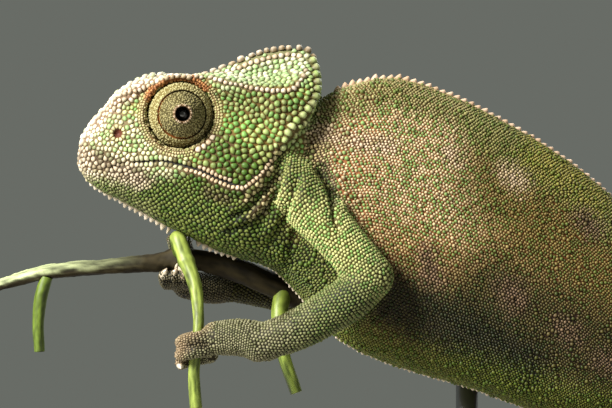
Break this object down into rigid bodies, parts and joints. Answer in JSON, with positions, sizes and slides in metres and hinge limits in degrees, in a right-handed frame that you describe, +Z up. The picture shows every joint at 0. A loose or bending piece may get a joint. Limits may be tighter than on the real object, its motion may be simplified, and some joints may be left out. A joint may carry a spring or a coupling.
{
  "type": "common chameleon model on display stand",
  "caption": "Life-size still model of a common chameleon gripping a cut branch, on a flat base with rods.",
  "frame": {"origin": "middle of the underside of the stand's flat base", "axes": "+Z up; -X the way the head points, so +X runs to the tail; the animal's left side faces -Y"},
  "size_m": [0.1497, 0.076, 0.1179],
  "materials": {
    "skin": "green-yellow granular scales with pale pinkish blotches, matt",
    "eye_turret": "finely granular olive eyelid, matt",
    "eye_lens": "wet dark eye",
    "claw": "pale horn, satin",
    "bark": "dark grey-brown twig bark",
    "green_stalk": "smooth young green stalk",
    "stand_wood": "dark stained wood, satin",
    "stand_steel": "brushed steel"
  },
  "bodies": {
    "root": {"head": "skin", "casque": "skin", "eye_left": "eye_turret", "eye_right": "eye_turret", "lens_left": "eye_lens", "lens_right": "eye_lens", "neck": "skin", "trunk_front": "skin", "trunk_rear": "skin", "tail_root": "skin", "tail_middle": "skin", "tail_tip": "skin", "upper_arm_left": "skin", "forearm_left": "skin", "hand_left": "skin", "upper_arm_right": "skin", "forearm_right": "skin", "hand_right": "skin", "thigh_left": "skin", "shank_left": "skin", "foot_left": "skin", "thigh_right": "skin", "shank_right": "skin", "foot_right": "skin", "perch_branch": "bark", "perch_stalk": "green_stalk", "perch_twig_front": "green_stalk", "perch_twig_rear": "green_stalk", "stand_base": "stand_wood", "stand_rod_front": "stand_steel", "stand_rod_rear": "stand_steel"}
  },
  "joints": []
}
